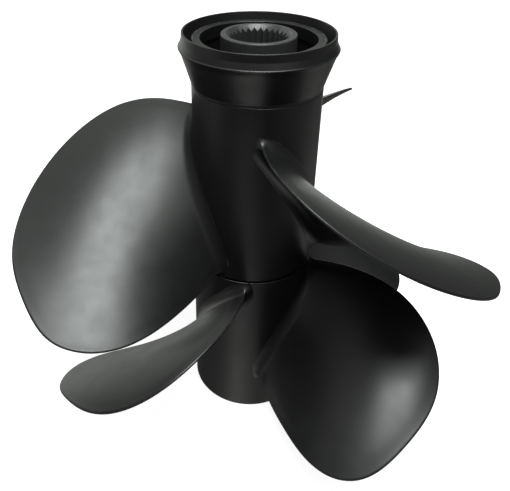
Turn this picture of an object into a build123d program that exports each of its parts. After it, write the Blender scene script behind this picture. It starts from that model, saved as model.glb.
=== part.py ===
from build123d import *
import os
from math import atan, cos, exp, pi, sin, radians, sqrt, hypot

os.makedirs("parts", exist_ok=True)

# ---------------------------------------------------------------- driving dimensions (mm)
# Z is the shaft axis, +Z towards the bow. Z = 0 is the aft end face of the rear hub.
HUB_R = 48.6            # outer radius of both hub barrels
HUB_GAP = 2.0           # running gap between the two hubs
REAR_LEN = 139.6        # rear hub, aft face to forward face
FRONT_AFT = REAR_LEN + HUB_GAP
FRONT_FWD = 322.7       # forward end face of the front barrel
WALL_IN_R = 42.9        # inside radius of both barrels
LIP_IN_R = 42.0         # inside radius of the front barrel's mouth
LIP_LEN = 9.0
SPIGOT_R = 46.4         # turned-down front end of the barrel, under the flare ring
SEAM_Z = 287.9          # shoulder that the flare ring seats on
RIM_Z = 327.3           # rim of the flare ring
TUBE_R = 34.2           # inner hub tube, outside
SHELL_R = 30.8          # bush shell outside = inner tube bore
SHELL_T = 1.3
WEB_T = 5.0             # webs between inner tube and barrel
EDGE_C = 0.6            # small chamfer on the hub ends
MOUTH_R = 43.6          # machined register inside the rear hub's aft end
MOUTH_LEN = 12.0

FRONT_TUBE = (172.0, 300.0)     # inner tube of the front hub, z range
FRONT_SHELL = (200.0, 296.0)
FRONT_RUBBER = (202.0, 294.0)
FRONT_SLEEVE = (192.0, 325.4)
FRONT_SLEEVE_R = 27.3           # end collar radius
FRONT_BODY_R = 25.8             # sleeve radius inside the rubber
FRONT_SPLINE = dict(teeth=29, major=21.7, minor=19.9, z=(214.0, 325.4))
FRONT_PILOT_R = 18.9

REAR_TUBE = (26.0, 124.0)
REAR_SHELL = (38.0, 116.0)
REAR_RUBBER = (40.0, 114.0)
REAR_SLEEVE = (31.0, 131.0)
REAR_SLEEVE_R = 23.5
REAR_BODY_R = 21.9
REAR_SPLINE = dict(teeth=21, major=16.4, minor=14.8, z=(51.0, 131.0))
REAR_PILOT_R = 13.9

FIT = 0.05              # running clearance between rubber and sleeve, radial

# ---------------------------------------------------------------- blade tables
# Nine stations, evenly spaced from the hub to the tip radius. hand is -1 for a left-handed
# propeller and +1 for a right-handed one. skew is the azimuth of the mid-chord in degrees,
# axial its height, pitch the face pitch, chord the half chord before the tip is rounded off.
FRONT_BLADE = dict(
    hand=-1, count=3, tip_r=192.3,
    skew=(197.98, 198.75, 199.90, 201.54, 203.76, 206.63, 209.92, 213.36, 216.68),
    axial=(203.7, 203.1, 202.9, 201.9, 199.1, 193.9, 186.8, 178.8, 170.9),
    pitch=(479.7, 495.8, 507.1, 513.8, 515.8, 513.1, 505.8, 493.7, 477.0),
    chord=(67.4, 76.4, 84.9, 91.9, 96.5, 97.5, 94.3, 85.9, 71.6),
    camber=(0.077, -0.031), lead=6.07, trail=3.72, blunt=0.25, root_half=6.3, tip_half=1.25, spread=1.2,
)
REAR_BLADE = dict(
    hand=1, count=4, tip_r=177.3,
    skew=(229.77, 229.24, 228.38, 227.28, 226.01, 224.64, 223.25, 221.92, 220.73),
    axial=(86.9, 85.5, 85.7, 86.2, 86.1, 84.3, 80.4, 74.4, 66.0),
    pitch=(453.3, 478.4, 498.7, 514.2, 525.0, 530.9, 532.1, 528.5, 520.1),
    chord=(55.6, 62.1, 67.2, 71.1, 74.2, 76.7, 78.1, 78.0, 75.6),
    camber=(0.0485, 0.091), lead=6.34, trail=3.60, blunt=0.292, root_half=5.8, tip_half=1.25, spread=1.2,
)
EDGE_HALF = 1.1         # half thickness along the blade's edges
ROOT_FLARE = 4.5        # extra half thickness where the blade meets the hub
FLARE_LEN = 5.5         # radial length over which the flare dies out
ROOT_SINK = 3.0         # how far the blade root goes into the barrel wall


def station(values, t):
    """Smooth interpolation through evenly spaced stations, straight beyond the root."""
    n = len(values) - 1
    if t <= 0:
        return values[0] + (values[1] - values[0]) * n * t
    s = min(t, 1.0) * n
    i = min(int(s), n - 1)
    f = s - i
    p1, p2 = values[i], values[i + 1]
    p0 = values[i - 1] if i > 0 else 2 * p1 - p2
    p3 = values[i + 2] if i + 2 <= n else 2 * p2 - p1
    return p1 + 0.5 * f * (p2 - p0 + f * (2 * p0 - 5 * p1 + 4 * p2 - p3 + f * (3 * (p1 - p2) + p3 - p0)))


def outline(blade, t, side):
    """Chordwise place of the leading (+1) or trailing (-1) edge at station t."""
    power = blade["lead"] if side > 0 else blade["trail"]
    close = max(0.0, 1.0 - max(t, 0.0) ** power) ** blade["blunt"]
    r = HUB_R + (blade["tip_r"] - HUB_R) * t
    return side * (station(blade["chord"], t) * close + blade["spread"] * exp(-max(r - HUB_R, -1.5) / FLARE_LEN))


def blade_point(blade, t, c, lift):
    """Point at station t, chordwise place c, and lift off the mean surface."""
    r = HUB_R + (blade["tip_r"] - HUB_R) * t
    phi = atan(station(blade["pitch"], t) / (2 * pi * r))
    half = station(blade["chord"], t)
    kap = blade["camber"][0] + (blade["camber"][1] - blade["camber"][0]) * min(max(t, 0), 1)
    off = kap * half * (1 - min(1.0, (c / half) ** 2)) + lift
    az = radians(station(blade["skew"], t)) + blade["hand"] * (c * cos(phi) - off * sin(phi)) / r
    z = station(blade["axial"], t) + c * sin(phi) + off * cos(phi)
    return (r * cos(az), r * sin(az), z)


def blade_solid(blade, rows=41, cols=21):
    """Closed blade: two faces through a grid of points, and ruled strips round the edge."""
    span = blade["tip_r"] - HUB_R
    t_in = -ROOT_SINK / span
    # the rounded tip, walked from the trailing side over the top to the leading side
    walk = []
    for side in (-1, 1):
        arc = [(t, outline(blade, t, side)) for t in [1 - (1 - k / 160) ** 3 for k in range(161)]]
        walk.append(arc)
    whole = walk[0] + walk[1][::-1]
    lengths = [0.0]
    for (t0, c0), (t1, c1) in zip(whole, whole[1:]):
        lengths.append(lengths[-1] + hypot((t1 - t0) * span, c1 - c0))

    def corner(side):
        """Station where the edge has turned half way round its tip corner."""
        t = 0.6
        while t < 0.995:
            if abs(outline(blade, t + 0.004, side) - outline(blade, t, side)) > 0.004 * span:
                return t
            t += 0.004
        return t

    t_te, t_le = corner(-1), corner(1)

    def at_length(l):
        k = 1
        while k < len(lengths) - 1 and lengths[k] < l:
            k += 1
        f = (l - lengths[k - 1]) / max(1e-9, lengths[k] - lengths[k - 1])
        return tuple(a + (b - a) * f for a, b in zip(whole[k - 1], whole[k]))

    def length_at(t, side):
        arc = walk[0] if side < 0 else walk[1]
        base = 0 if side < 0 else len(walk[0])
        for k in range(len(arc) - 1):
            if arc[k + 1][0] >= t:
                f = (t - arc[k][0]) / (arc[k + 1][0] - arc[k][0])
                a = k if side < 0 else base + len(arc) - 1 - k
                b = k + 1 if side < 0 else base + len(arc) - 2 - k
                return lengths[a] + (lengths[b] - lengths[a]) * f
        return lengths[-1]

    l0, l1 = length_at(t_te, -1), length_at(t_le, 1)
    grid = []
    for i in range(rows):
        u = i / (rows - 1)
        row = []
        for j in range(cols):
            v = j / (cols - 1)
            te = t_in + (t_te - t_in) * u
            le = t_in + (t_le - t_in) * u
            a = (te, outline(blade, te, -1))
            b = (le, outline(blade, le, 1))
            root = (t_in, (1 - v) * outline(blade, t_in, -1) + v * outline(blade, t_in, 1))
            tip = at_length(l0 + (l1 - l0) * v)
            c00, c01 = (t_in, outline(blade, t_in, -1)), (t_in, outline(blade, t_in, 1))
            c10, c11 = (t_te, outline(blade, t_te, -1)), (t_le, outline(blade, t_le, 1))
            pt = []
            for k in range(2):
                pt.append((1 - v) * a[k] + v * b[k] + (1 - u) * root[k] + u * tip[k]
                          - (1 - u) * (1 - v) * c00[k] - (1 - u) * v * c01[k]
                          - u * (1 - v) * c10[k] - u * v * c11[k])
            t, c = pt
            r = HUB_R + span * t
            belly = (1 - (2 * v - 1) ** 2) ** 0.8 * (1 - u ** 5)
            body = blade["root_half"] * max(0.0, 1 - max(t, 0)) ** 1.3 + blade["tip_half"]
            half = EDGE_HALF + (body - EDGE_HALF) * belly
            half += ROOT_FLARE * exp(-max(r - HUB_R, -1.5) / FLARE_LEN)
            row.append((t, c, half))
        grid.append(row)
    upper = Face.make_surface_from_array_of_points(
        [[blade_point(blade, t, c, h) for t, c, h in row] for row in grid], tol=0.02, min_deg=3, max_deg=3)
    lower = Face.make_surface_from_array_of_points(
        [[blade_point(blade, t, c, -h) for t, c, h in row] for row in grid], tol=0.02, min_deg=3, max_deg=3)
    faces = [upper, lower]
    spare = list(lower.edges())
    for edge in upper.edges():
        other = min(spare, key=lambda e: (e @ 0.5 - edge @ 0.5).length)
        spare.remove(other)
        faces.append(Face.make_surface_from_curves(edge, other))
    return Solid(Shell(faces))


# The blades are cast in one with their hub. Each is its own node, cut off at the hub's surface,
# so that its collision hulls can follow it.
front_blade = blade_solid(FRONT_BLADE)
rear_blade = blade_solid(REAR_BLADE)
print("front blade", front_blade.is_valid, round(front_blade.volume), "rear blade", rear_blade.is_valid, round(rear_blade.volume))


def spline_profile(spec):
    """Outline of the internal spline: triangular teeth round the bore."""
    n = spec["teeth"]
    pts = []
    for k in range(n):
        a = 2 * pi * k / n
        for f, r in ((-0.42, spec["major"]), (-0.08, spec["minor"]), (0.08, spec["minor"]), (0.42, spec["major"])):
            b = a + f * 2 * pi / n
            pts.append((r * cos(b), r * sin(b)))
    return pts


# ---------------------------------------------------------------- front propeller
with BuildPart() as front_hub:
    with BuildSketch(Plane.XZ) as barrel_section:
        with BuildLine():
            Polyline(
                (WALL_IN_R, FRONT_AFT), (HUB_R - EDGE_C, FRONT_AFT), (HUB_R, FRONT_AFT + EDGE_C), (HUB_R, SEAM_Z - 0.5),
                (HUB_R - 0.5, SEAM_Z), (SPIGOT_R, SEAM_Z), (SPIGOT_R, FRONT_FWD), (LIP_IN_R + 0.5, FRONT_FWD),
                (LIP_IN_R, FRONT_FWD - 0.5), (LIP_IN_R, FRONT_FWD - LIP_LEN), (WALL_IN_R, FRONT_FWD - LIP_LEN - 3),
                close=True)
        make_face()
        with BuildLine():
            Polyline(
                (SHELL_R, FRONT_TUBE[0]), (TUBE_R, FRONT_TUBE[0]), (TUBE_R, FRONT_TUBE[1]), (SHELL_R + 1, FRONT_TUBE[1]),
                (SHELL_R, FRONT_TUBE[1] - 1), close=True)
        make_face()
    revolve(axis=Axis.Z)
    with BuildSketch(Plane.XY.offset(FRONT_TUBE[0] + 3)) as web_section:
        with PolarLocations((TUBE_R + WALL_IN_R) / 2, 3, start_angle=20):
            Rectangle(WALL_IN_R - TUBE_R + 2.0, WEB_T)
    extrude(amount=FRONT_TUBE[1] - FRONT_TUBE[0] - 12)
front_hub.part.label = "front_hub"
export_step(front_hub.part, "parts/front_hub.step")

with BuildPart() as front_blade_1:
    add(front_blade, rotation=(0, 0, 0 * 360 / FRONT_BLADE["count"]))
    with Locations((0, 0, FRONT_AFT + 90)):
        Cylinder(radius=HUB_R, height=260, mode=Mode.SUBTRACT)
front_blade_1.part.label = "front_blade_1"
export_step(front_blade_1.part, "parts/front_blade_1.step")

with BuildPart() as front_blade_2:
    add(front_blade, rotation=(0, 0, 1 * 360 / FRONT_BLADE["count"]))
    with Locations((0, 0, FRONT_AFT + 90)):
        Cylinder(radius=HUB_R, height=260, mode=Mode.SUBTRACT)
front_blade_2.part.label = "front_blade_2"
export_step(front_blade_2.part, "parts/front_blade_2.step")

with BuildPart() as front_blade_3:
    add(front_blade, rotation=(0, 0, 2 * 360 / FRONT_BLADE["count"]))
    with Locations((0, 0, FRONT_AFT + 90)):
        Cylinder(radius=HUB_R, height=260, mode=Mode.SUBTRACT)
front_blade_3.part.label = "front_blade_3"
export_step(front_blade_3.part, "parts/front_blade_3.step")

with BuildPart() as front_flare_ring:
    with BuildSketch(Plane.XZ) as flare_section:
        with BuildLine():
            Polyline((SPIGOT_R, SEAM_Z), (HUB_R - 0.5, SEAM_Z), (HUB_R, SEAM_Z + 0.5), (HUB_R, SEAM_Z + 2.2))
            Spline((HUB_R, SEAM_Z + 2.2), (51.3, SEAM_Z + 10.8), (53.7, SEAM_Z + 18.0), (55.7, SEAM_Z + 25.0),
                   tangents=[(0.15, 1), (0.22, 1)])
            Spline((55.7, SEAM_Z + 25.0), (57.1, SEAM_Z + 27.4), (57.7, SEAM_Z + 29.4), (57.0, SEAM_Z + 31.6), (55.3, SEAM_Z + 33.4),
                   tangents=[(1, 1), (-0.5, 1)])
            Polyline((55.3, SEAM_Z + 33.4), (55.1, SEAM_Z + 35.0), (55.1, RIM_Z - 0.4), (54.7, RIM_Z), (53.9, RIM_Z),
                     (53.5, RIM_Z - 0.4), (52.6, RIM_Z - 6.0), (50.4, RIM_Z - 13.0), (49.2, RIM_Z - 13.0), (48.1, FRONT_FWD - 0.5),
                     (47.6, FRONT_FWD), (SPIGOT_R, FRONT_FWD), (SPIGOT_R, SEAM_Z))
        make_face()
    revolve(axis=Axis.Z)
front_flare_ring.part.label = "front_flare_ring"
export_step(front_flare_ring.part, "parts/front_flare_ring.step")

with BuildPart() as front_bush_shell:
    with BuildSketch(Plane.XZ):
        with BuildLine():
            Polyline((SHELL_R - SHELL_T, FRONT_SHELL[0]), (SHELL_R - 0.5, FRONT_SHELL[0]), (SHELL_R, FRONT_SHELL[0] + 0.5),
                     (SHELL_R, FRONT_SHELL[1] - 0.5), (SHELL_R - 0.5, FRONT_SHELL[1]), (SHELL_R - SHELL_T, FRONT_SHELL[1]), close=True)
        make_face()
    revolve(axis=Axis.Z)
front_bush_shell.part.label = "front_bush_shell"
export_step(front_bush_shell.part, "parts/front_bush_shell.step")

with BuildPart() as front_rubber_bush:
    with BuildSketch(Plane.XZ):
        with BuildLine():
            Polyline((FRONT_BODY_R + FIT, FRONT_RUBBER[0]), (SHELL_R - SHELL_T - 1.0, FRONT_RUBBER[0]),
                     (SHELL_R - SHELL_T, FRONT_RUBBER[0] + 1.0), (SHELL_R - SHELL_T, FRONT_RUBBER[1] - 1.0),
                     (SHELL_R - SHELL_T - 1.0, FRONT_RUBBER[1]), (FRONT_BODY_R + FIT, FRONT_RUBBER[1]), close=True)
        make_face()
    revolve(axis=Axis.Z)
front_rubber_bush.part.label = "front_rubber_bush"
export_step(front_rubber_bush.part, "parts/front_rubber_bush.step")

with BuildPart() as front_splined_sleeve:
    with BuildSketch(Plane.XZ):
        with BuildLine():
            Polyline((FRONT_PILOT_R, FRONT_SLEEVE[0]), (FRONT_BODY_R - 0.8, FRONT_SLEEVE[0]), (FRONT_BODY_R, FRONT_SLEEVE[0] + 0.8),
                     (FRONT_BODY_R, FRONT_SHELL[1] + 6.0), (FRONT_SLEEVE_R, FRONT_SHELL[1] + 8.0),
                     (FRONT_SLEEVE_R, FRONT_SLEEVE[1] - 0.8), (FRONT_SLEEVE_R - 0.8, FRONT_SLEEVE[1]),
                     (FRONT_PILOT_R, FRONT_SLEEVE[1]), close=True)
        make_face()
    revolve(axis=Axis.Z)
    with BuildSketch(Plane.XY.offset(FRONT_SPLINE["z"][0])):
        with BuildLine():
            Polyline(*spline_profile(FRONT_SPLINE), close=True)
        make_face()
    extrude(amount=FRONT_SPLINE["z"][1] - FRONT_SPLINE["z"][0] + 1, mode=Mode.SUBTRACT)
front_splined_sleeve.part.label = "front_splined_sleeve"
export_step(front_splined_sleeve.part, "parts/front_splined_sleeve.step")

# ---------------------------------------------------------------- rear propeller
with BuildPart() as rear_hub:
    with BuildSketch(Plane.XZ):
        with BuildLine():
            Polyline(
                (WALL_IN_R, MOUTH_LEN + 1.0), (MOUTH_R, MOUTH_LEN), (MOUTH_R, 0), (HUB_R - 1.6, 0), (HUB_R - 0.5, 0.45), (HUB_R, 1.6), (HUB_R, REAR_LEN - EDGE_C),
                (HUB_R - EDGE_C, REAR_LEN), (WALL_IN_R, REAR_LEN), close=True)
        make_face()
        with BuildLine():
            Polyline(
                (SHELL_R, REAR_TUBE[0]), (TUBE_R, REAR_TUBE[0]), (TUBE_R, REAR_TUBE[1]), (SHELL_R + 1, REAR_TUBE[1]),
                (SHELL_R, REAR_TUBE[1] - 1), close=True)
        make_face()
    revolve(axis=Axis.Z)
    with BuildSketch(Plane.XY.offset(REAR_TUBE[0] + 3)):
        with PolarLocations((TUBE_R + WALL_IN_R) / 2, 3, start_angle=50):
            Rectangle(WALL_IN_R - TUBE_R + 2.0, WEB_T)
    extrude(amount=REAR_TUBE[1] - REAR_TUBE[0] - 12)
rear_hub.part.label = "rear_hub"
export_step(rear_hub.part, "parts/rear_hub.step")

with BuildPart() as rear_blade_1:
    add(rear_blade, rotation=(0, 0, 0 * 360 / REAR_BLADE["count"]))
    with Locations((0, 0, REAR_LEN / 2)):
        Cylinder(radius=HUB_R, height=260, mode=Mode.SUBTRACT)
rear_blade_1.part.label = "rear_blade_1"
export_step(rear_blade_1.part, "parts/rear_blade_1.step")

with BuildPart() as rear_blade_2:
    add(rear_blade, rotation=(0, 0, 1 * 360 / REAR_BLADE["count"]))
    with Locations((0, 0, REAR_LEN / 2)):
        Cylinder(radius=HUB_R, height=260, mode=Mode.SUBTRACT)
rear_blade_2.part.label = "rear_blade_2"
export_step(rear_blade_2.part, "parts/rear_blade_2.step")

with BuildPart() as rear_blade_3:
    add(rear_blade, rotation=(0, 0, 2 * 360 / REAR_BLADE["count"]))
    with Locations((0, 0, REAR_LEN / 2)):
        Cylinder(radius=HUB_R, height=260, mode=Mode.SUBTRACT)
rear_blade_3.part.label = "rear_blade_3"
export_step(rear_blade_3.part, "parts/rear_blade_3.step")

with BuildPart() as rear_blade_4:
    add(rear_blade, rotation=(0, 0, 3 * 360 / REAR_BLADE["count"]))
    with Locations((0, 0, REAR_LEN / 2)):
        Cylinder(radius=HUB_R, height=260, mode=Mode.SUBTRACT)
rear_blade_4.part.label = "rear_blade_4"
export_step(rear_blade_4.part, "parts/rear_blade_4.step")

with BuildPart() as rear_bush_shell:
    with BuildSketch(Plane.XZ):
        with BuildLine():
            Polyline((SHELL_R - SHELL_T, REAR_SHELL[0]), (SHELL_R - 0.5, REAR_SHELL[0]), (SHELL_R, REAR_SHELL[0] + 0.5),
                     (SHELL_R, REAR_SHELL[1] - 0.5), (SHELL_R - 0.5, REAR_SHELL[1]), (SHELL_R - SHELL_T, REAR_SHELL[1]), close=True)
        make_face()
    revolve(axis=Axis.Z)
rear_bush_shell.part.label = "rear_bush_shell"
export_step(rear_bush_shell.part, "parts/rear_bush_shell.step")

with BuildPart() as rear_rubber_bush:
    with BuildSketch(Plane.XZ):
        with BuildLine():
            Polyline((REAR_BODY_R + FIT, REAR_RUBBER[0]), (SHELL_R - SHELL_T - 1.0, REAR_RUBBER[0]),
                     (SHELL_R - SHELL_T, REAR_RUBBER[0] + 1.0), (SHELL_R - SHELL_T, REAR_RUBBER[1] - 1.0),
                     (SHELL_R - SHELL_T - 1.0, REAR_RUBBER[1]), (REAR_BODY_R + FIT, REAR_RUBBER[1]), close=True)
        make_face()
    revolve(axis=Axis.Z)
rear_rubber_bush.part.label = "rear_rubber_bush"
export_step(rear_rubber_bush.part, "parts/rear_rubber_bush.step")

with BuildPart() as rear_splined_sleeve:
    with BuildSketch(Plane.XZ):
        with BuildLine():
            Polyline((REAR_PILOT_R, REAR_SLEEVE[0]), (REAR_BODY_R - 0.8, REAR_SLEEVE[0]), (REAR_BODY_R, REAR_SLEEVE[0] + 0.8),
                     (REAR_BODY_R, REAR_SHELL[1] + 3.0), (REAR_SLEEVE_R, REAR_SHELL[1] + 5.0),
                     (REAR_SLEEVE_R, REAR_SLEEVE[1] - 0.8), (REAR_SLEEVE_R - 0.8, REAR_SLEEVE[1]),
                     (REAR_PILOT_R, REAR_SLEEVE[1]), close=True)
        make_face()
    revolve(axis=Axis.Z)
    with BuildSketch(Plane.XY.offset(REAR_SPLINE["z"][0])):
        with BuildLine():
            Polyline(*spline_profile(REAR_SPLINE), close=True)
        make_face()
    extrude(amount=REAR_SPLINE["z"][1] - REAR_SPLINE["z"][0] + 1, mode=Mode.SUBTRACT)
rear_splined_sleeve.part.label = "rear_splined_sleeve"
export_step(rear_splined_sleeve.part, "parts/rear_splined_sleeve.step")
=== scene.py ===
import math

import bmesh
import bpy
import numpy as np
from mathutils import Matrix, Vector


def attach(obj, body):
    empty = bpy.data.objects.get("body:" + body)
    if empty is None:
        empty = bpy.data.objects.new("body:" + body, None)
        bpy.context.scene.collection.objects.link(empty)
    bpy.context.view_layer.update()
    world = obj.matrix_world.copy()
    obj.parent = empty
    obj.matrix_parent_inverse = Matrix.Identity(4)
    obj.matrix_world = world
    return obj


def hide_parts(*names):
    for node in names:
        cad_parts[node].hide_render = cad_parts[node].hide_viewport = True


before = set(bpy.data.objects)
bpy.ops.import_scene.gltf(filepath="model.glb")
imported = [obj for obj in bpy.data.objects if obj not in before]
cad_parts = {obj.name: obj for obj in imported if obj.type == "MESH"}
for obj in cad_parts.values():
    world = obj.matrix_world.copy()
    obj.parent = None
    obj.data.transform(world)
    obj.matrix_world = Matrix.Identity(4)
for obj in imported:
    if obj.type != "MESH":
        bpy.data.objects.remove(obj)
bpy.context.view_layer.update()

# ------------------------------------------------------------------ sizes (mm), as in the CAD source
HUB_R = 48.6
REAR_LEN = 139.6
FRONT_AFT = 141.6
FRONT_FWD = 322.7
WALL_IN_R = 42.9
LIP_IN_R = 42.0
LIP_LEN = 9.0
MOUTH_R, MOUTH_LEN = 43.6, 12.0
SPIGOT_R = 46.4
SEAM_Z = 287.9
RIM_Z = 327.3
TUBE_R, SHELL_R = 34.2, 30.8
WEB_T = 5.0
FRONT_TUBE = (172.0, 300.0)
REAR_TUBE = (26.0, 124.0)
EDGE = 1.1              # half thickness at the blade edges
FILLET = 7.5            # root fillet radius
SEG = 256

FRONT_BLADE = dict(
    hand=-1, count=3, tip_r=192.3,
    skew=(197.98, 198.75, 199.90, 201.54, 203.76, 206.63, 209.92, 213.36, 216.68),
    axial=(203.7, 203.1, 202.9, 201.9, 199.1, 193.9, 186.8, 178.8, 170.9),
    pitch=(479.7, 495.8, 507.1, 513.8, 515.8, 513.1, 505.8, 493.7, 477.0),
    chord=(67.4, 76.4, 84.9, 91.9, 96.5, 97.5, 94.3, 85.9, 71.6),
    camber=(0.077, -0.031), lead=6.07, trail=3.72, blunt=0.25, root_half=6.3, tip_half=1.25)
REAR_BLADE = dict(
    hand=1, count=4, tip_r=177.3,
    skew=(229.77, 229.24, 228.38, 227.28, 226.01, 224.64, 223.25, 221.92, 220.73),
    axial=(86.9, 85.5, 85.7, 86.2, 86.1, 84.3, 80.4, 74.4, 66.0),
    pitch=(453.3, 478.4, 498.7, 514.2, 525.0, 530.9, 532.1, 528.5, 520.1),
    chord=(55.6, 62.1, 67.2, 71.1, 74.2, 76.7, 78.1, 78.0, 75.6),
    camber=(0.0485, 0.091), lead=6.34, trail=3.60, blunt=0.292, root_half=5.8, tip_half=1.25)


# ------------------------------------------------------------------ mesh helpers
def make(name, verts, faces, material, body, nodes=(), slot=None, sharp=40.0):
    me = bpy.data.meshes.new(name)
    me.from_pydata((np.asarray(verts, float) / 1000).tolist(), [], [list(map(int, f)) for f in faces])
    bm = bmesh.new()
    bm.from_mesh(me)
    bmesh.ops.remove_doubles(bm, verts=bm.verts, dist=2e-7)
    bmesh.ops.recalc_face_normals(bm, faces=bm.faces)
    bm.to_mesh(me)
    bm.free()
    me.polygons.foreach_set("use_smooth", np.ones(len(me.polygons), bool))
    me.set_sharp_from_angle(angle=math.radians(sharp))
    me.materials.append(material)
    ob = bpy.data.objects.new(name, me)
    bpy.context.scene.collection.objects.link(ob)
    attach(ob, body)
    if nodes:
        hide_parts(*nodes)
    return ob


def rounded(corners, steps=5, support=0.25):
    """Closed outline from corners (r, z, radius), with true arcs and a support point each side of them."""
    pts = []
    n = len(corners)
    for i, (x, y, rad) in enumerate(corners):
        p = np.array([x, y], float)
        a = np.array(corners[i - 1][:2], float) - p
        b = np.array(corners[(i + 1) % n][:2], float) - p
        la, lb = np.hypot(*a), np.hypot(*b)
        a, b = a / la, b / lb
        half = math.acos(max(-1, min(1, float(a @ b)))) / 2
        if rad <= 0 or half > 1.55:
            pts.append(p)
            continue
        cut = min(rad / math.tan(half), 0.45 * la, 0.45 * lb)
        rad = cut * math.tan(half)
        mid = (a + b) / np.hypot(*(a + b))
        centre = p + mid * (rad / math.sin(half))
        s, e = p + a * cut - centre, p + b * cut - centre
        a0, a1 = math.atan2(s[1], s[0]), math.atan2(e[1], e[0])
        d = (a1 - a0 + math.pi) % (2 * math.pi) - math.pi
        if cut + support < 0.5 * la:
            pts.append(p + a * (cut + support))
        for k in range(steps + 1):
            w = a0 + d * k / steps
            pts.append(centre + rad * np.array([math.cos(w), math.sin(w)]))
        if cut + support < 0.5 * lb:
            pts.append(p + b * (cut + support))
    return np.array(pts)


def revolve(outline, seg=SEG, base=0):
    """Verts and faces of a closed (r, z) outline turned about Z."""
    ang = np.arange(seg) * 2 * math.pi / seg
    m = len(outline)
    r, z = outline[:, 0], outline[:, 1]
    v = np.stack([np.outer(np.cos(ang), r), np.outer(np.sin(ang), r), np.tile(z, (seg, 1))], -1).reshape(-1, 3)
    f = []
    for i in range(seg):
        a, b = i * m, ((i + 1) % seg) * m
        for j in range(m):
            k = (j + 1) % m
            f.append((base + a + j, base + b + j, base + b + k, base + a + k))
    return v, f


class Bag:
    """Collects shapes that end up in one mesh."""

    def __init__(self):
        self.v, self.f, self.n = [], [], 0

    def add(self, v, f):
        self.v.append(np.asarray(v, float))
        self.f += [tuple(i + self.n for i in q) for q in f]
        self.n += len(v)

    def out(self):
        return np.vstack(self.v), self.f


def station(values, t):
    v = np.asarray(values, float)
    n = len(v) - 1
    t = np.asarray(t, float)
    s = np.clip(t, 0, 1) * n
    i = np.minimum(s.astype(int), n - 1)
    f = s - i
    ext = np.concatenate([[2 * v[0] - v[1]], v, [2 * v[-1] - v[-2]]])
    p0, p1, p2, p3 = ext[i], ext[i + 1], ext[i + 2], ext[i + 3]
    got = p1 + 0.5 * f * (p2 - p0 + f * (2 * p0 - 5 * p1 + 4 * p2 - p3 + f * (3 * (p1 - p2) + p3 - p0)))
    return np.where(t < 0, v[0] + (v[1] - v[0]) * n * t, got)


def fillet(r):
    """Extra offset of the blade surface near the hub: a true round of radius FILLET."""
    x = np.clip((np.asarray(r, float) - HUB_R) / FILLET, 0, 1)
    return FILLET * (1 - np.sqrt(np.clip(1 - (1 - x) ** 2, 0, 1)))


def edge_at(b, t, side):
    t = np.asarray(t, float)
    r = HUB_R + (b["tip_r"] - HUB_R) * t
    power = b["lead"] if side > 0 else b["trail"]
    close = np.clip(1 - np.clip(t, 0, 1) ** power, 0, 1) ** b["blunt"]
    return side * (station(b["chord"], t) * close + fillet(r))


def blade_xyz(b, t, c, lift):
    r = HUB_R + (b["tip_r"] - HUB_R) * t
    phi = np.arctan(station(b["pitch"], t) / (2 * math.pi * r))
    half = station(b["chord"], t)
    kap = b["camber"][0] + (b["camber"][1] - b["camber"][0]) * np.clip(t, 0, 1)
    off = kap * half * (1 - np.minimum(1, (c / half) ** 2)) + lift
    az = np.radians(station(b["skew"], t)) + b["hand"] * (c * np.cos(phi) - off * np.sin(phi)) / r
    z = station(b["axial"], t) + c * np.sin(phi) + off * np.cos(phi)
    return np.stack([r * np.cos(az), r * np.sin(az), z], -1)


def spaced(near, far, length, start, end):
    """Parameters 0..1 over a length, with fine spacing given in mm at the start and/or end."""
    a = [x / length for x in start]
    z = [1 - x / length for x in end][::-1]
    lo, hi = a[-1], z[0]
    n = max(2, int(round((hi - lo) * length / far)))
    mid = [lo + (hi - lo) * k / n for k in range(1, n)]
    return np.array(a + mid + z)


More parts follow.
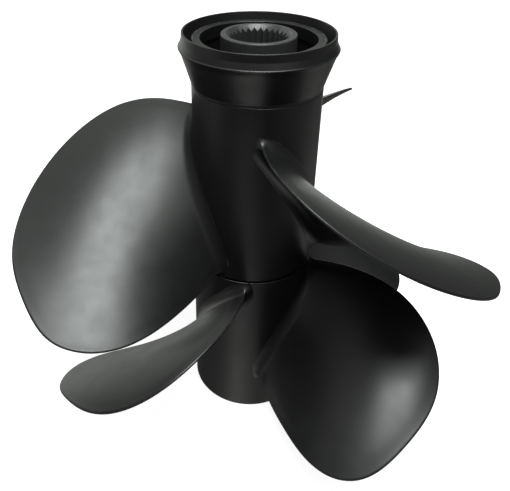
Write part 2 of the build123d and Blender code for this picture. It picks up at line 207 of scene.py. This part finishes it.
def blade_mesh(b):
    span = b["tip_r"] - HUB_R
    t_in = -0.6 / span
    walk = []
    for side in (-1, 1):
        ts = 1 - (1 - np.linspace(0, 1, 900)) ** 3.4
        ts = t_in + (1 - t_in) * ts
        walk.append(np.stack([ts, edge_at(b, ts, side)], -1))
    whole = np.vstack([walk[0], walk[1][::-1]])
    steps = np.hypot(np.diff(whole[:, 0]) * span, np.diff(whole[:, 1]))
    run = np.concatenate([[0], np.cumsum(steps)])

    def corner(side):
        t = 0.6
        while t < 0.995 and abs(float(edge_at(b, t + 0.004, side)) - float(edge_at(b, t, side))) <= 0.004 * span:
            t += 0.004
        return t

    t_te, t_le = corner(-1), corner(1)
    l0 = np.interp(t_te, walk[0][:, 0], run[:900])
    l1 = np.interp(-t_le, -walk[1][::-1][:, 0], run[900:])
    fine = [0, 0.05, 0.2, 0.45, 0.8, 1.2, 1.8, 2.6, 3.8, 5.2, 7.0, 9.0, 12.0, 16.0]
    v = spaced(0, 3.4, 150, fine, fine)
    root = [0, 0.6, 0.7, 0.85, 1.1, 1.5, 2.0, 2.7, 3.5, 4.4, 5.4, 6.5, 7.7, 9.0, 11.0, 14.0]
    u = spaced(0, 3.2, span * 0.9, root, fine)
    U, V = np.meshgrid(u, v, indexing="ij")
    te, le = t_in + (t_te - t_in) * U, t_in + (t_le - t_in) * U
    lr = l0 + (l1 - l0) * V
    tip_t, tip_c = np.interp(lr, run, whole[:, 0]), np.interp(lr, run, whole[:, 1])
    r0, r1 = float(edge_at(b, t_in, -1)), float(edge_at(b, t_in, 1))
    q0, q1 = float(edge_at(b, t_te, -1)), float(edge_at(b, t_le, 1))
    T = (1 - V) * te + V * le + (1 - U) * t_in + U * tip_t - (1 - U) * t_in - U * (1 - V) * t_te - U * V * t_le
    C = ((1 - V) * edge_at(b, te, -1) + V * edge_at(b, le, 1) + (1 - U) * ((1 - V) * r0 + V * r1) + U * tip_c
         - (1 - U) * (1 - V) * r0 - (1 - U) * V * r1 - U * (1 - V) * q0 - U * V * q1)
    # distance to the outline, in the developed blade
    pts = np.stack([T.ravel() * span, C.ravel()], -1)
    line = np.stack([np.interp(np.linspace(0, run[-1], 1600), run, whole[:, 0]) * span,
                     np.interp(np.linspace(0, run[-1], 1600), run, whole[:, 1])], -1)
    dist = np.empty(len(pts))
    a, d = line[:-1], np.diff(line, axis=0)
    dd = (d ** 2).sum(1)
    for s in range(0, len(pts), 500):
        p = pts[s:s + 500]
        w = np.clip(((p[:, None] - a) * d).sum(-1) / dd, 0, 1)
        near = a + w[..., None] * d
        dist[s:s + 500] = np.sqrt(((p[:, None] - near) ** 2).sum(-1)).min(1)
    dist = dist.reshape(T.shape)
    dist[:, 0] = dist[:, -1] = 0
    dist[-1, :] = 0
    r = HUB_R + span * T
    g = fillet(r)
    e = EDGE * 0.92 + g
    round_edge = np.where(dist < e, np.sqrt(np.clip(e * e - (e - dist) ** 2, 0, None)), e)
    body = b["root_half"] * np.clip(1 - np.clip(T, 0, 1), 0, 1) ** 1.3 + b["tip_half"]
    outer = np.maximum(station(b["chord"], T) * 1.0, 1)
    s = np.clip(np.abs(C) / np.maximum(np.where(C > 0, edge_at(b, np.minimum(T, 0.9995), 1), -edge_at(b, np.minimum(T, 0.9995), -1)), 1), 0, 1)
    soft = np.clip(dist / 9.0, 0, 1)
    soft = soft * soft * (3 - 2 * soft)
    half = round_edge + (body - EDGE) * (1 - s ** 2) ** 0.8 * soft
    up = blade_xyz(b, T, C, half)
    dn = blade_xyz(b, T, C, -half)
    n, m = T.shape
    ids_up = np.arange(n * m).reshape(n, m)
    ids_dn = ids_up + n * m
    ids_dn[:, 0], ids_dn[:, -1], ids_dn[-1, :] = ids_up[:, 0], ids_up[:, -1], ids_up[-1, :]
    verts = np.vstack([up.reshape(-1, 3), dn.reshape(-1, 3)])
    faces = []
    for i in range(n - 1):
        for j in range(m - 1):
            faces.append((ids_up[i, j], ids_up[i, j + 1], ids_up[i + 1, j + 1], ids_up[i + 1, j]))
            q = [ids_dn[i, j], ids_dn[i + 1, j], ids_dn[i + 1, j + 1], ids_dn[i, j + 1]]
            q = [x for k, x in enumerate(q) if x != q[k - 1]]
            if len(q) > 2:
                faces.append(tuple(q))
    ring = [ids_up[0, j] for j in range(m)] + [ids_dn[0, j] for j in range(m - 2, 0, -1)]
    faces.append(tuple(ring))
    # drop vertices no face uses
    used = np.unique(np.concatenate([np.array(f) for f in faces]))
    remap = -np.ones(len(verts), int)
    remap[used] = np.arange(len(used))
    return verts[used], [tuple(remap[list(f)]) for f in faces]


def add_blades(bag, b):
    v, f = blade_mesh(b)
    for k in range(b["count"]):
        a = 2 * math.pi * k / b["count"]
        c, s = math.cos(a), math.sin(a)
        bag.add(v @ np.array([[c, s, 0], [-s, c, 0], [0, 0, 1]]), f)


def add_webs(bag, z0, z1, start):
    """Three webs between the inner tube and the barrel, with rounded long edges and fillets at both ends."""
    for k in range(3):
        a = math.radians(start + 120 * k)
        side = []
        for w, r in ((WEB_T / 2 + 3.0, TUBE_R - 0.4), (WEB_T / 2 + 1.0, TUBE_R + 0.6), (WEB_T / 2 + 0.2, TUBE_R + 1.8), (WEB_T / 2, TUBE_R + 3.0),
                     (WEB_T / 2, WALL_IN_R - 3.0), (WEB_T / 2 + 0.2, WALL_IN_R - 1.8), (WEB_T / 2 + 1.0, WALL_IN_R - 0.6), (WEB_T / 2 + 3.0, WALL_IN_R + 0.3)):
            side.append((r, w))
        loop = side + [(r, -w) for r, w in side[::-1]]
        loop = np.array([(r * math.cos(a) - w * math.sin(a), r * math.sin(a) + w * math.cos(a)) for r, w in loop])
        n = len(loop)
        zs = [z0, z0 + 0.3, z0 + 1.0, z1 - 1.0, z1 - 0.3, z1]
        centre = loop.mean(0)
        v = []
        for z, shrink in zip(zs, (0.9, 0.97, 1, 1, 0.97, 0.9)):
            v += [(*(centre + (p - centre) * (1 if abs(k2 % (n // 2) - (n // 4)) > 2 else shrink)), z) for k2, p in enumerate(loop)]
        f = [(i * n + j, i * n + (j + 1) % n, (i + 1) * n + (j + 1) % n, (i + 1) * n + j) for i in range(len(zs) - 1) for j in range(n)]
        f += [tuple(range(n))[::-1], tuple(range((len(zs) - 1) * n, len(zs) * n))]
        bag.add(v, f)


# ------------------------------------------------------------------ materials
def nodes_of(mat):
    mat.use_nodes = True
    nt = mat.node_tree
    nt.nodes.clear()
    out = nt.nodes.new("ShaderNodeOutputMaterial")
    bsdf = nt.nodes.new("ShaderNodeBsdfPrincipled")
    nt.links.new(bsdf.outputs[0], out.inputs[0])
    return nt, bsdf


def noise(nt, vector, scale, detail=3.0, rough=0.5):
    n = nt.nodes.new("ShaderNodeTexNoise")
    n.inputs["Scale"].default_value = scale
    n.inputs["Detail"].default_value = detail
    n.inputs["Roughness"].default_value = rough
    nt.links.new(vector, n.inputs["Vector"])
    return n.outputs["Fac"]


def ramp(nt, fac, stops):
    n = nt.nodes.new("ShaderNodeValToRGB")
    el = n.color_ramp.elements
    while len(el) < len(stops):
        el.new(0.5)
    for e, (p, c) in zip(el, stops):
        e.position = p
        e.color = (*c, 1) if hasattr(c, "__len__") else (c, c, c, 1)
    nt.links.new(fac, n.inputs["Fac"])
    return n.outputs["Color"]


def bump(nt, height, strength, distance, normal=None):
    n = nt.nodes.new("ShaderNodeBump")
    n.inputs["Strength"].default_value = strength
    n.inputs["Distance"].default_value = distance
    nt.links.new(height, n.inputs["Height"])
    if normal is not None:
        nt.links.new(normal, n.inputs["Normal"])
    return n.outputs["Normal"]


def paint(name, base, lighter, rough, wear=0.0, peel=0.25):
    """Sprayed satin black over a casting: orange peel, faint casting undulation, dust and rubbed edges."""
    mat = bpy.data.materials.new(name)
    nt, bsdf = nodes_of(mat)
    pos = nt.nodes.new("ShaderNodeTexCoord").outputs["Object"]
    cloud = noise(nt, pos, 9.0, 4.0, 0.55)
    speck = noise(nt, pos, 900.0, 2.0, 0.6)
    mix = nt.nodes.new("ShaderNodeMath")
    mix.operation = "MULTIPLY_ADD"
    nt.links.new(speck, mix.inputs[0])
    mix.inputs[1].default_value = 0.35
    nt.links.new(cloud, mix.inputs[2])
    col = ramp(nt, mix.outputs[0], [(0.35, base), (0.95, lighter)])
    geo = nt.nodes.new("ShaderNodeNewGeometry")
    if wear > 0:
        edge = ramp(nt, geo.outputs["Pointiness"], [(0.515, 0.0), (0.56, 1.0)])
        patchy = ramp(nt, noise(nt, pos, 120.0, 4.0, 0.6), [(0.45, 0.0), (0.62, 1.0)])
        both = nt.nodes.new("ShaderNodeMath")
        both.operation = "MULTIPLY"
        nt.links.new(edge, both.inputs[0])
        nt.links.new(patchy, both.inputs[1])
        scale = nt.nodes.new("ShaderNodeMath")
        scale.operation = "MULTIPLY"
        scale.inputs[1].default_value = wear
        nt.links.new(both.outputs[0], scale.inputs[0])
        blend = nt.nodes.new("ShaderNodeMix")
        blend.data_type = "RGBA"
        nt.links.new(scale.outputs[0], blend.inputs["Factor"])
        nt.links.new(col, blend.inputs["A"])
        blend.inputs["B"].default_value = (0.16, 0.16, 0.165, 1)
        col = blend.outputs["Result"]
    nt.links.new(col, bsdf.inputs["Base Color"])
    rgh = ramp(nt, noise(nt, pos, 60.0, 5.0, 0.6), [(0.3, rough - 0.035), (0.7, rough + 0.04)])
    nt.links.new(rgh, bsdf.inputs["Roughness"])
    n1 = bump(nt, noise(nt, pos, 38.0, 2.0, 0.4), 0.05, 0.0006)
    n2 = bump(nt, noise(nt, pos, 520.0, 1.0, 0.4), peel, 0.00006, n1)
    n3 = bump(nt, noise(nt, pos, 2600.0, 1.0, 0.5), 0.35, 0.000012, n2)
    nt.links.new(n3, bsdf.inputs["Normal"])
    bsdf.inputs["Metallic"].default_value = 0.0
    bsdf.inputs["IOR"].default_value = 1.5
    return mat


black = paint("satin_black_paint", (0.0058, 0.0058, 0.0060), (0.0110, 0.0112, 0.0112), 0.36, wear=0.35)
sleeve_black = paint("sleeve_black", (0.022, 0.022, 0.0225), (0.048, 0.048, 0.049), 0.38, wear=0.6, peel=0.12)


def brass():
    mat = bpy.data.materials.new("bush_shell_brass")
    nt, bsdf = nodes_of(mat)
    pos = nt.nodes.new("ShaderNodeTexCoord").outputs["Object"]
    nt.links.new(ramp(nt, noise(nt, pos, 70.0, 5.0, 0.6), [(0.3, (0.20, 0.13, 0.05)), (0.7, (0.42, 0.30, 0.13))]), bsdf.inputs["Base Color"])
    nt.links.new(ramp(nt, noise(nt, pos, 200.0, 4.0, 0.6), [(0.3, 0.32), (0.7, 0.5)]), bsdf.inputs["Roughness"])
    nt.links.new(bump(nt, noise(nt, pos, 900.0, 2.0, 0.5), 0.3, 0.00004), bsdf.inputs["Normal"])
    bsdf.inputs["Metallic"].default_value = 1.0
    return mat


def rubber():
    mat = bpy.data.materials.new("bush_rubber")
    nt, bsdf = nodes_of(mat)
    pos = nt.nodes.new("ShaderNodeTexCoord").outputs["Object"]
    nt.links.new(ramp(nt, noise(nt, pos, 45.0, 5.0, 0.6), [(0.3, 0.007), (0.75, 0.02)]), bsdf.inputs["Base Color"])
    nt.links.new(ramp(nt, noise(nt, pos, 160.0, 4.0, 0.6), [(0.3, 0.66), (0.7, 0.85)]), bsdf.inputs["Roughness"])
    nt.links.new(bump(nt, noise(nt, pos, 1400.0, 3.0, 0.6), 0.5, 0.00008), bsdf.inputs["Normal"])
    return mat


brass_mat, rubber_mat = brass(), rubber()
for node, mat in (("front_bush_shell", brass_mat), ("rear_bush_shell", brass_mat), ("front_rubber_bush", rubber_mat), ("rear_rubber_bush", rubber_mat)):
    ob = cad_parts[node]
    ob.data.materials.clear()
    ob.data.materials.append(mat)
    ob.data.polygons.foreach_set("use_smooth", np.ones(len(ob.data.polygons), bool))
    ob.data.set_sharp_from_angle(angle=math.radians(35))

# ------------------------------------------------------------------ rear propeller
bag = Bag()
bag.add(*revolve(rounded([
    (MOUTH_R, 0.0, 0.25), (HUB_R, 0.0, 1.6), (HUB_R, REAR_LEN, 0.7), (WALL_IN_R, REAR_LEN, 0.4),
    (WALL_IN_R, MOUTH_LEN + 1.0, 0.3), (MOUTH_R, MOUTH_LEN, 0.2)])))
bag.add(*revolve(rounded([(SHELL_R, REAR_TUBE[0], 0.3), (TUBE_R, REAR_TUBE[0], 0.9), (TUBE_R, REAR_TUBE[1], 0.9), (SHELL_R, REAR_TUBE[1], 0.8)])))
add_webs(bag, REAR_TUBE[0] + 3, REAR_TUBE[1] - 9, 50)
add_blades(bag, REAR_BLADE)
make("rear_propeller", *bag.out(), black, "rear_propeller", ["rear_hub", "rear_blade_1", "rear_blade_2", "rear_blade_3", "rear_blade_4"], "black_paint", 38)

# ------------------------------------------------------------------ front propeller
bag = Bag()
bag.add(*revolve(rounded([
    (WALL_IN_R, FRONT_AFT, 0.4), (HUB_R, FRONT_AFT, 0.7), (HUB_R, SEAM_Z, 0.55), (SPIGOT_R, SEAM_Z, 0.05), (SPIGOT_R, FRONT_FWD, 0.2),
    (LIP_IN_R, FRONT_FWD, 0.6), (LIP_IN_R, FRONT_FWD - LIP_LEN, 0.5), (WALL_IN_R, FRONT_FWD - LIP_LEN - 3, 0.5)])))
bag.add(*revolve(rounded([(SHELL_R, FRONT_TUBE[0], 0.3), (TUBE_R, FRONT_TUBE[0], 0.9), (TUBE_R, FRONT_TUBE[1], 0.9), (SHELL_R, FRONT_TUBE[1], 0.8)])))
add_webs(bag, FRONT_TUBE[0] + 3, FRONT_TUBE[1] - 9, 20)
add_blades(bag, FRONT_BLADE)
make("front_propeller", *bag.out(), black, "front_propeller", ["front_hub", "front_blade_1", "front_blade_2", "front_blade_3"], "black_paint", 38)

# flared ring
flare = [(HUB_R, SEAM_Z + 1.6), (48.75, SEAM_Z + 2.6), (49.7, SEAM_Z + 5.4), (51.35, SEAM_Z + 10.8), (53.65, SEAM_Z + 18.0), (55.6, SEAM_Z + 24.0),
         (56.75, SEAM_Z + 26.6), (57.4, SEAM_Z + 27.7), (57.75, SEAM_Z + 28.5)]
lip = rounded([(57.75, SEAM_Z + 28.5, 0.0), (57.8, SEAM_Z + 29.0, 0.3), (57.2, SEAM_Z + 29.4, 0.25), (55.5, SEAM_Z + 33.8, 1.6), (55.1, RIM_Z, 0.45), (53.7, RIM_Z, 0.45),
    (52.6, RIM_Z - 6.0, 0.0)])[:-1]


def smooth_line(pts, n=5):
    p = np.array(pts, float)
    p = np.vstack([2 * p[0] - p[1], p, 2 * p[-1] - p[-2]])
    out = []
    for i in range(1, len(p) - 2):
        for k in range(n):
            f = k / n
            a, b, c, d = p[i - 1], p[i], p[i + 1], p[i + 2]
            out.append(b + 0.5 * f * (c - a + f * (2 * a - 5 * b + 4 * c - d + f * (3 * (b - c) + d - a))))
    out.append(p[-2])
    return np.array(out)


inner = rounded([
    (53.7, RIM_Z - 0.5, 0.0), (52.6, RIM_Z - 6.0, 1.0), (50.6, RIM_Z - 13.0, 0.5), (49.2, RIM_Z - 13.0, 0.5),
    (48.0, FRONT_FWD, 0.35), (SPIGOT_R + 0.02, FRONT_FWD, 0.0), (SPIGOT_R + 0.02, SEAM_Z + 0.05, 0.0), (HUB_R, SEAM_Z + 0.05, 0.5)])
# the outline above is closed by the flare's own curve, from the seam up to the rim
profile = np.vstack([smooth_line(flare)[:-1], lip, inner[1:]])
bag = Bag()
bag.add(*revolve(profile))
make("front_flare_ring_skin", *bag.out(), black, "front_propeller", ["front_flare_ring"], "black_paint", 38)


# ------------------------------------------------------------------ splined sleeves
def sleeve(name, body, node, teeth, major, minor, outer, z_spline, z_top, pilot, per=12):
    """outer is the (r, z) line from the aft bore edge round the outside to the top face's inner edge."""
    seg = teeth * per
    ang = np.arange(seg) * 2 * math.pi / seg
    frac = (np.arange(seg) % per) / per
    tri = np.abs(frac - 0.5) * 2          # 1 at a root, 0 at a crest
    depth = np.clip((tri - 0.14) / 0.72, 0, 1)
    tooth = minor + (major - minor) * depth
    rows = []
    for r, z in outer:
        rows.append((np.full(seg, r), np.full(seg, z)))
    # lead-in: a cone cut from the top face down through the tooth ends
    mouth = major + 2.0
    rows.append((np.full(seg, mouth + 0.4), np.full(seg, z_top)))
    rows.append((np.full(seg, mouth), np.full(seg, z_top - 0.06)))
    rows.append((tooth + 0.18, z_top - 0.06 - (mouth - tooth - 0.18) * 1.1))
    rows.append((tooth, z_top - 0.20 - (mouth - tooth) * 1.1))
    rows.append((tooth, z_top - 0.50 - (mouth - tooth) * 1.1))
    rows.append((tooth, np.full(seg, z_spline)))
    rows.append((np.full(seg, pilot), np.full(seg, z_spline)))
    v = np.vstack([np.stack([r * np.cos(ang), r * np.sin(ang), z], -1) for r, z in rows])
    n = len(rows)
    f = []
    for i in range(n):
        a, b = i * seg, ((i + 1) % n) * seg
        for j in range(seg):
            k = (j + 1) % seg
            f.append((a + j, a + k, b + k, b + j))
    return make(name, v, f, sleeve_black, body, [node], "sleeve_black", 24)


def outside(points):
    pts = rounded(points, 5, 0.2)
    return pts


line = outside([(18.9, 192.0, 0.6), (25.8, 192.0, 0.8), (25.8, 302.0, 0.8), (27.3, 304.0, 0.8), (27.3, 325.4, 1.1), (18.9, 325.4, 0.0)])[:-1]
sleeve("front_sleeve", "front_sleeve", "front_splined_sleeve", 29, 21.7, 19.9, line, 214.0, 325.4, 18.9)
line = outside([(13.9, 31.0, 0.6), (21.9, 31.0, 0.8), (21.9, 119.0, 0.8), (23.5, 121.0, 0.8), (23.5, 131.0, 1.0), (13.9, 131.0, 0.0)])[:-1]
sleeve("rear_sleeve", "rear_sleeve", "rear_splined_sleeve", 21, 16.4, 14.8, line, 51.0, 131.0, 13.9)

# ------------------------------------------------------------------ camera
PITCH, YAW, ROLL = 0.5137866, -0.0715255, 0.0002
FOCAL, PX, PY = 599.327, 216.417, 177.139
fwd = Vector((math.sin(YAW) * math.cos(PITCH), math.cos(YAW) * math.cos(PITCH), -math.sin(PITCH)))
right = Vector((math.cos(YAW), -math.sin(YAW), 0))
up = right.cross(fwd)
r2 = right * math.cos(ROLL) + up * math.sin(ROLL)
u2 = up * math.cos(ROLL) - right * math.sin(ROLL)
cam = bpy.data.objects.new("camera", bpy.data.cameras.new("camera"))
cam.matrix_world = Matrix(((r2.x, u2.x, -fwd.x, 0), (r2.y, u2.y, -fwd.y, -0.41936), (r2.z, u2.z, -fwd.z, 0.44464), (0, 0, 0, 1)))
cam.data.sensor_width = 36
cam.data.lens = FOCAL * 36 / 510
cam.data.shift_x = (255 - PX) / 510
cam.data.shift_y = (PY - 245.5) / 510
cam.data.clip_start, cam.data.clip_end = 0.01, 100
bpy.context.scene.collection.objects.link(cam)
bpy.context.scene.camera = cam

# ------------------------------------------------------------------ floor and light
floor_me = bpy.data.meshes.new("floor")
floor_me.from_pydata([(-6, -6, -0.0004), (6, -6, -0.0004), (6, 6, -0.0004), (-6, 6, -0.0004)], [], [(0, 1, 2, 3)])
floor = bpy.data.objects.new("floor", floor_me)
bpy.context.scene.collection.objects.link(floor)
floor_mat = bpy.data.materials.new("floor")
nt, bsdf = nodes_of(floor_mat)
bsdf.inputs["Base Color"].default_value = (0.60, 0.60, 0.60, 1)
bsdf.inputs["Roughness"].default_value = 0.9
bsdf.inputs["Specular IOR Level"].default_value = 0.1
bsdf.inputs["Emission Color"].default_value = (1, 1, 1, 1)
bsdf.inputs["Emission Strength"].default_value = 0.88
floor_me.materials.append(floor_mat)
floor.visible_glossy = False
floor.visible_diffuse = False

world = bpy.data.worlds.new("world")
bpy.context.scene.world = world
world.use_nodes = True
wt = world.node_tree
back = wt.nodes["Background"]
where = wt.nodes.new("ShaderNodeTexCoord").outputs["Generated"]
# soft light from a few broad directions: azimuth, elevation, spread and strength
GLOW = [(0, -80, 15, 0.12), (180, -80, 15, 0.13), (0, -57, 15, 0.79), (205, -57, 15, 0.20), (257, -57, 15, 0.90), (308, -57, 15, 0.06),
        (32, -35, 15, 0.34), (163, -35, 15, 0.06), (327, -35, 15, 0.22), (0, -12, 15, 0.09), (83, -12, 15, 0.07), (110, -12, 15, 0.71),
        (138, -12, 15, 0.44), (193, -12, 15, 0.55), (0, 9, 15, 0.06), (83, 9, 15, 0.40), (138, 9, 15, 1.10), (249, 9, 15, 0.11),
        (304, 9, 15, 0.14), (65, 32, 15, 0.38), (130, 32, 15, 0.20), (229, 32, 15, 0.44), (294, 32, 15, 0.26), (102, 54, 15, 0.27),
        (154, 54, 15, 1.02), (308, 54, 15, 1.75), (120, 76, 15, 0.73), (80, -14, 8, 1.50), (247, -51, 9, 0.75)]


def wmath(op, a, b=None, c=None):
    n = wt.nodes.new("ShaderNodeMath")
    n.operation = op
    for i, x in enumerate((a, b, c)):
        if x is None:
            continue
        if isinstance(x, (int, float)):
            n.inputs[i].default_value = x
        else:
            wt.links.new(x, n.inputs[i])
    return n.outputs[0]


total = None
for az, el, spread, strength in GLOW:
    a, e, k = math.radians(az), math.radians(el), 1 / math.radians(spread) ** 2
    dot = wt.nodes.new("ShaderNodeVectorMath")
    dot.operation = "DOT_PRODUCT"
    wt.links.new(where, dot.inputs[0])
    dot.inputs[1].default_value = (math.cos(e) * math.cos(a), math.cos(e) * math.sin(a), math.sin(e))
    glow = wmath("EXPONENT", wmath("MULTIPLY_ADD", dot.outputs["Value"], k, -k))
    total = wmath("MULTIPLY", glow, strength) if total is None else wmath("MULTIPLY_ADD", glow, strength, total)
total = wmath("MULTIPLY_ADD", total, 0.84, 0.004)
wt.links.new(total, back.inputs["Strength"])
back.inputs["Color"].default_value = (0.955, 1.0, 0.94, 1)


def softbox(name, where, at, size, power, spread=180):
    li = bpy.data.lights.new(name, "AREA")
    li.shape = "RECTANGLE"
    li.size, li.size_y = size
    li.energy = power
    li.color = (0.95, 1.0, 0.975)
    li.spread = math.radians(spread)
    ob = bpy.data.objects.new(name, li)
    ob.location = where
    ob.rotation_mode = "QUATERNION"
    ob.rotation_quaternion = (Vector(where) - Vector(at)).to_track_quat("Z", "Y")
    bpy.context.scene.collection.objects.link(ob)
    return ob


HIGH = 2.0
box = (-0.23, 0.373, -0.541, -0.045)
cx, cy = (box[0] + box[1]) / 2 * HIGH, (box[2] + box[3]) / 2 * HIGH
sx, sy = (box[1] - box[0]) * HIGH, (box[3] - box[2]) * HIGH
softbox("key", (cx, cy, HIGH + 0.2), (cx, cy, 0), (sx, sy), 15.2 * math.pi * sx * sy)
bpy.context.scene.view_settings.view_transform = "Standard"
